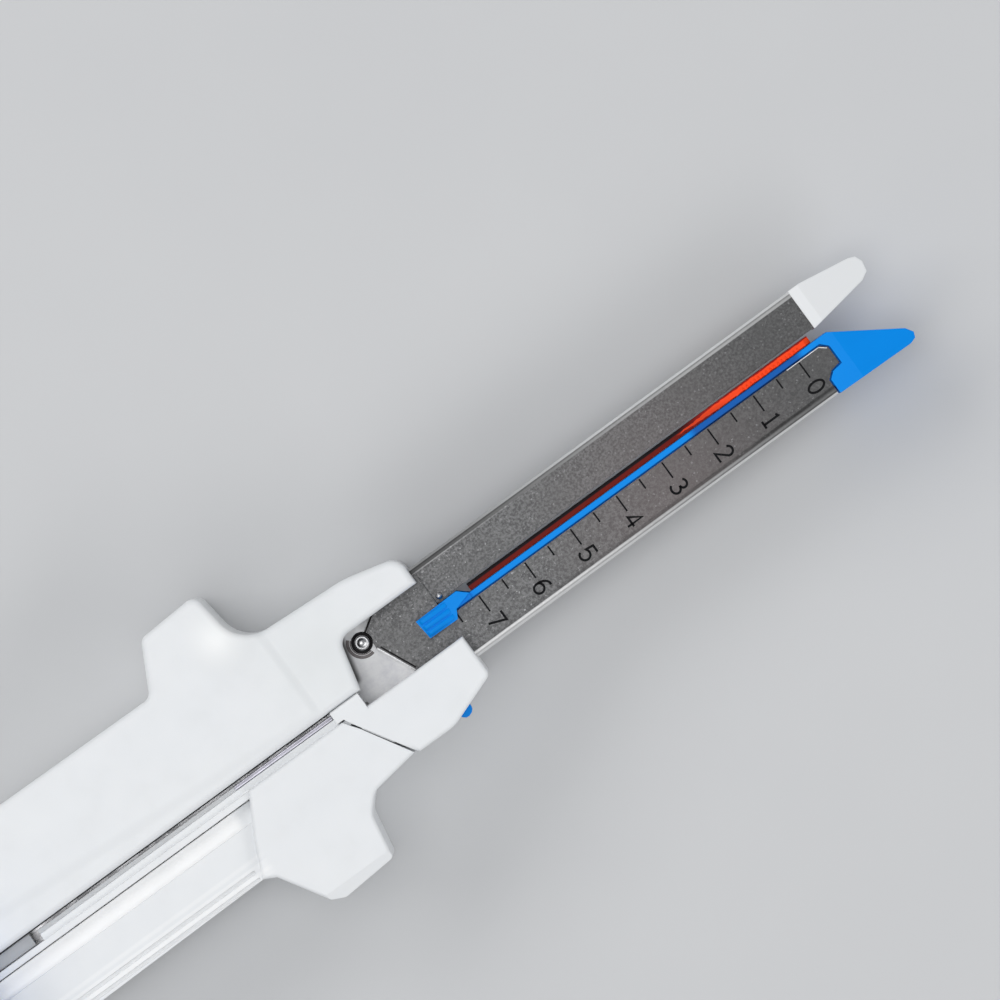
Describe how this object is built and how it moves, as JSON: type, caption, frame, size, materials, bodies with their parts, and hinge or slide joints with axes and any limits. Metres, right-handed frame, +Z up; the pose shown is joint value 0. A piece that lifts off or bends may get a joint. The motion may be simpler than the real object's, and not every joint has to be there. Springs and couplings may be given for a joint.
{
  "type": "linear cutting stapler",
  "caption": "Hand-held reloadable surgical linear stapler and cutter with two steel jaws, white handle halves, blue cartridge, locking lever and firing slide.",
  "frame": {"origin": "centre of the whole part's box, on the plane it lies on", "axes": "+X along the jaws to their tips, +Y from the lever side to the anvil side, +Z up through the handle's width"},
  "size_m": [0.2274, 0.0585, 0.0345],
  "materials": {
    "white_plastic": "smooth moulded, semi-gloss",
    "blue_plastic": "smooth moulded, semi-gloss",
    "red_plastic": "smooth moulded, translucent-looking",
    "blasted_steel": "bead-blasted, matt",
    "bright_steel": "fine brushed",
    "pin_steel": "polished"
  },
  "bodies": {
    "anvil_half": {"anvil_channel": "blasted_steel", "anvil_plate": "bright_steel", "anvil_tip": "white_plastic", "upper_cover_near": "white_plastic", "upper_cover_far": "white_plastic", "latch_pin": "pin_steel", "rear_pin": "pin_steel", "upper_cover_screws": "pin_steel", "anvil_rivets": "pin_steel"},
    "cartridge_half": {"cartridge_channel": "blasted_steel", "front_cover_near": "white_plastic", "front_cover_far": "white_plastic", "front_cover_screws": "pin_steel", "rear_block": "white_plastic", "tail_pin": "pin_steel", "lever_pivot_pins": "pin_steel", "channel_rivets": "pin_steel", "button_spring": "bright_steel"},
    "locking_lever": {"lever_cover_near": "white_plastic", "lever_cover_far": "white_plastic", "latch_plates": "bright_steel", "lever_rivets": "pin_steel", "lever_screws": "pin_steel"},
    "release_button": {"release_button": "blue_plastic"},
    "cartridge": {"cartridge_body": "blue_plastic", "staples": "pin_steel", "staple_drivers": "blue_plastic", "cartridge_pan": "bright_steel"},
    "retainer": {"retainer": "red_plastic"},
    "firing_slide": {"slide_carriage": "white_plastic", "knife_bar": "bright_steel", "wedge_bars": "bright_steel", "firing_knob": "blue_plastic"}
  },
  "joints": [
    {"name": "jaw_swing", "type": "hinge", "parent": "anvil_half", "child": "cartridge_half", "pos_m": [-0.1057, 0.00255, 0.0125], "axis": [0, 0, -1], "range_deg": [0, 4]},
    {"name": "lever_swing", "type": "hinge", "parent": "cartridge_half", "child": "locking_lever", "pos_m": [0.0059, -0.01095, 0.0125], "axis": [0, 0, 1], "range_deg": [0, 35]},
    {"name": "firing_stroke", "type": "slide", "parent": "cartridge_half", "child": "firing_slide", "axis": [1, 0, 0], "range_m": [0, 0.0795]},
    {"name": "button_press", "type": "slide", "parent": "cartridge_half", "child": "release_button", "axis": [-0.3305, 0.9438, 0], "range_m": [0, 0.0011], "stiffness_N_per_m": 900, "springref_m": -0.0012, "deforming": ["button_spring"]},
    {"name": "cartridge_pull", "type": "slide", "parent": "cartridge_half", "child": "cartridge", "axis": [1, 0, 0], "range_m": [0, 0.088]},
    {"name": "retainer_pull", "type": "slide", "parent": "cartridge", "child": "retainer", "axis": [1, 0, 0], "range_m": [0, 0.08]}
  ],
  "couplings": [
    {"joint": "jaw_swing", "follows": "lever_swing", "ratio": 0.11429}
  ]
}
